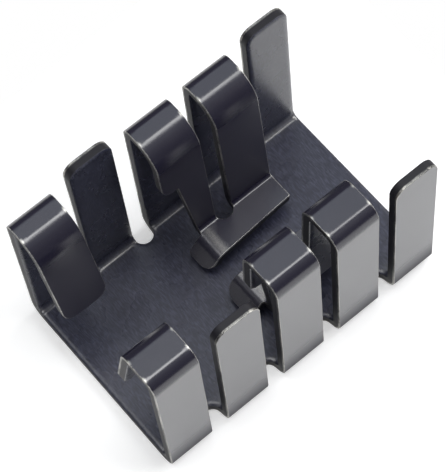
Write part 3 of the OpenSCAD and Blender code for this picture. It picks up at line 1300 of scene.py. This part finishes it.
        # painted highlight where the bars ease down into their lips
        bar = self.path(Fin.CLIP, Side.BACK).stations()[Mark.BAR]
        on_bar = (np.abs(s) - size.half_flat > bar) & outside
        lip = (x - size.lip_start + use.lip_past) / use.lip_reach
        return np.maximum(glint_and_wear, use.lip_share * on_bar * np.exp(-(lip**2)))

    def dull(self, blank: Array) -> Array:
        """How far the outer face lost its gloss, at the walls' feet and on the legs.

        The walls' feet rubbed in the bending die. The legs were pressed over
        the same die, past the hooks' tops.

        Args:
            blank: Points as rows of x, s and t.

        Returns:
            Dulling from 0 to 1.
        """
        size, use = self.sizes, self.use
        u = np.abs(blank[:, 1]) - size.half_flat
        wall = self.path(Fin.STRAIGHT, Side.BACK).stations()[Mark.WALL]
        feet = (u > 0) * np.clip(1 - (u - wall) / use.foot_height, 0, 1) ** use.foot_power
        foot_bend = self.path(Fin.CLIP, Side.BACK).stations()[Mark.FOOT_BEND]
        past_top = np.clip((u - size.fin_height - use.leg_start) / use.leg_fade, 0, 1)
        legs = use.leg_share * past_top * (u < foot_bend)
        return np.maximum(feet, legs) * (blank[:, 2] < SHEET / 2)

    def bend_highlight_mask(self, blank: Array) -> Array:
        """How far the inner face carries a painted highlight in the bends at the base, with a lower roughness
        and a share of bright metal.

        Args:
            blank: Points as rows of x, s and t.

        Returns:
            Share from 0 to 1, a bell curve across each bend.
        """
        start, end = self.path(Fin.STRAIGHT, Side.BACK).stations()[[Mark.BASE_BEND, Mark.WALL]]
        middle, reach = self.sizes.half_flat + (start + end) / 2, (end - start) / 2
        return np.exp(-(((np.abs(blank[:, 1]) - middle) / reach) ** 2)) * (blank[:, 2] > SHEET / 2)

    def write(
        self,
        spot: Array,
        normals: Array,
        faces: list[Array],
        quads: list[Array],
        blank: Array,
        marks: dict[str, Array],
    ) -> bpy.types.Object:
        """Writes the arrays into one mesh with its normals and attributes.

        Args:
            spot: Places in millimetres.
            normals: Surface normals at the points.
            faces: Triangles of the two faces.
            quads: Strips round the cut edges.
            blank: The points' places on the blank and heights in the sheet.
            marks: Values from 0 to 1 at the points, by the attribute's name.

        Returns:
            The object, linked to the scene.
        """
        mesh = bpy.data.meshes.new("folded_sheet")
        polygons = np.concatenate(faces).tolist() + np.concatenate(quads).tolist()
        mesh.from_pydata((spot * MM).tolist(), [], polygons)
        places = mesh.attributes.new("blank_mm", "FLOAT_VECTOR", "POINT")
        places.data.foreach_set("vector", blank.astype(np.float32).ravel())
        for name, values in marks.items():
            mesh.attributes.new(name, "FLOAT", "POINT").data.foreach_set("value", values.astype(np.float32))
        mesh.shade_smooth()
        unit = normals / np.linalg.norm(normals, axis=1)[:, None]
        mesh.normals_split_custom_set_from_vertices(unit.tolist())
        made = bpy.data.objects.new("folded_sheet", mesh)
        bpy.context.scene.collection.objects.link(made)
        made.data.materials.append(self.finish.material())
        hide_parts("heat_sink")
        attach(made, "root")
        LOG.info("folded sheet: %d points, %d faces", len(mesh.vertices), len(mesh.polygons))
        return made


@dataclass(frozen=True)
class Softbox:
    """An oval studio lamp that looks at the middle of the sink, in metres.

    Its power follows from its brightness: an even lamp of area A that looks as
    bright as L gives off pi times A times L.
    """

    name: str
    place: tuple[float, float, float]
    length: float
    width: float
    brightness: float
    tint: str = "ffffff"
    target: tuple[float, float, float] = (0.0, 0.0, 0.006)

    def build(self) -> None:
        """Adds the lamp, turned toward the sink."""
        lamp = bpy.data.lights.new(self.name, "AREA")
        lamp.shape, lamp.size, lamp.size_y = "ELLIPSE", self.length, self.width
        lamp.energy = math.pi * (math.pi * self.length * self.width / 4) * self.brightness
        lamp.color = linear(self.tint)[:3]
        holder = bpy.data.objects.new(self.name, lamp)
        holder.location = self.place
        aim = Vector(self.target) - Vector(self.place)
        holder.rotation_euler = aim.to_track_quat("-Z", "Y").to_euler()
        bpy.context.scene.collection.objects.link(holder)


@dataclass(frozen=True)
class Studio:
    """The camera, the white floor and the soft light of the photograph.

    Places are in metres, the camera's turn in degrees and its lens in
    millimetres. The camera and reflected rays find glow added to the floor's
    light, and the camera finds seen_glow on top of that.
    """

    camera_place: tuple[float, float, float] = (-0.02581036, -0.04104866, 0.11422842)
    camera_turn: tuple[float, float, float] = (24.0542, 3.47301, -39.72444)
    lens: float = 165.62
    sensor: float = 36.0
    sky: float = 0.1
    paper: str = "f2f2f2"
    card_half: float = 0.018
    glow: float = 0.04
    seen_glow: float = 0.3
    lamps: tuple[Softbox, ...] = (
        Softbox("ceiling", (0.0, 0.0, 0.55), 0.85, 0.85, 0.165, "ecf5ff"),
        Softbox("key", (0.01, 0.016, 0.5), 0.4, 0.16, 5.0),
        Softbox("back", (0.14, 0.2, 0.495), 0.26, 0.26, 0.55, "ecf5ff"),
        Softbox("back left", (-0.13, 0.21, 0.5), 0.15, 0.15, 1.6),
        Softbox("left", (-0.335, 0.0, 0.37), 0.3, 0.3, 1.0),
        Softbox("right", (0.375, 0.0, 0.33), 0.3, 0.3, 4.6),
        Softbox("front left", (-0.18, -0.42, 0.39), 0.3, 0.3, 2.2),
        Softbox("front right", (0.38, -0.3, 0.34), 0.3, 0.3, 5.0),
    )

    def build(self) -> None:
        """Sets up the whole studio."""
        self.build_camera()
        self.build_floor()
        self.build_sky()
        for lamp in self.lamps:
            lamp.build()
        bpy.context.scene.view_settings.view_transform = "Standard"
        LOG.info("studio: camera, floor, sky and %d lamps", len(self.lamps))

    def build_camera(self) -> None:
        """Places the camera where the photograph was taken from."""
        camera = bpy.data.cameras.new("camera")
        camera.sensor_fit, camera.sensor_width, camera.lens = "AUTO", self.sensor, self.lens
        camera.clip_start, camera.clip_end = 0.01, 10.0
        holder = bpy.data.objects.new("camera", camera)
        holder.location = self.camera_place
        holder.rotation_euler = Euler([math.radians(a) for a in self.camera_turn])
        bpy.context.scene.collection.objects.link(holder)
        bpy.context.scene.camera = holder

    def build_floor(self) -> None:
        """Lays the floor: a matt white that reads as white where nothing shades it.

        Rays of the camera and reflected rays see it lit from within a little.
        """
        half = self.card_half
        mesh = bpy.data.meshes.new("floor")
        corners = [(-half, -half, 0), (half, -half, 0), (half, half, 0), (-half, half, 0)]
        mesh.from_pydata(corners, [], [(0, 1, 2, 3)])
        floor = bpy.data.objects.new("floor", mesh)
        bpy.context.scene.collection.objects.link(floor)
        made = bpy.data.materials.new("white paper")
        made.use_nodes = True
        tree = made.node_tree
        tree.nodes.clear()
        path = add(tree, "ShaderNodeLightPath")
        camera = path.outputs["Is Camera Ray"]
        seen = add(tree, "ShaderNodeMath", LARGER, i0=camera, i1=self.mirrored(tree, path))
        level = add(tree, "ShaderNodeMath", PRODUCT_PLUS, i0=camera, i1=self.seen_glow, i2=self.glow)
        matt = add(tree, "ShaderNodeBsdfDiffuse", Color=linear(self.paper))
        lit = add(tree, "ShaderNodeEmission", Color=linear("ffffff"), Strength=level)
        both = add(tree, "ShaderNodeAddShader", i0=matt, i1=lit)
        mixed = add(tree, "ShaderNodeMixShader", i0=seen, i1=matt, i2=both)
        add(tree, "ShaderNodeOutputMaterial", Surface=mixed)
        mesh.materials.append(made)

    def build_sky(self) -> None:
        """Lights the studio evenly, and shows white where the floor would go on."""
        world = bpy.data.worlds.new("studio")
        bpy.context.scene.world = world
        world.use_nodes = True
        tree = world.node_tree
        tree.nodes.clear()
        path = add(tree, "ShaderNodeLightPath")
        soft = add(tree, "ShaderNodeBackground", Color=linear("ffffff"), Strength=self.sky)
        white = add(tree, "ShaderNodeBackground", Color=linear("ffffff"), Strength=1.0)
        way = add(tree, "ShaderNodeTexCoord").outputs["Generated"]
        height = add(tree, "ShaderNodeSeparateXYZ", Vector=way).outputs["Z"]
        below = add(tree, "ShaderNodeMath", {"operation": "LESS_THAN"}, i0=height, i1=0.0)
        shown = add(tree, "ShaderNodeMath", PRODUCT, i0=self.mirrored(tree, path), i1=below)
        seen = add(tree, "ShaderNodeMath", LARGER, i0=path.outputs["Is Camera Ray"], i1=shown)
        mixed = add(tree, "ShaderNodeMixShader", i0=seen, i1=soft, i2=white)
        add(tree, "ShaderNodeOutputWorld", Surface=mixed)

    @staticmethod
    def mirrored(tree: Tree, path: bpy.types.Node) -> bpy.types.Node:
        """Tells rays that the object reflects or lets through.

        Args:
            tree: Node tree.
            path: Light path node.

        Returns:
            Node that gives 1 for such a ray.
        """
        glossy, through = path.outputs["Is Glossy Ray"], path.outputs["Is Transmission Ray"]
        return add(tree, "ShaderNodeMath", LARGER, i0=glossy, i1=through)


def main() -> None:
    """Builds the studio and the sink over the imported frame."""
    logging.basicConfig(level=logging.INFO, format="%(message)s")
    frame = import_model()
    LOG.info("frame: %s", ", ".join(frame["nodes"]))
    Studio().build()
    FoldedSink(SinkSizes.of_frame("heat_sink")).build()
    bpy.context.view_layer.update()
    LOG.info("boxes noted")


if __name__ == "__main__":
    main()
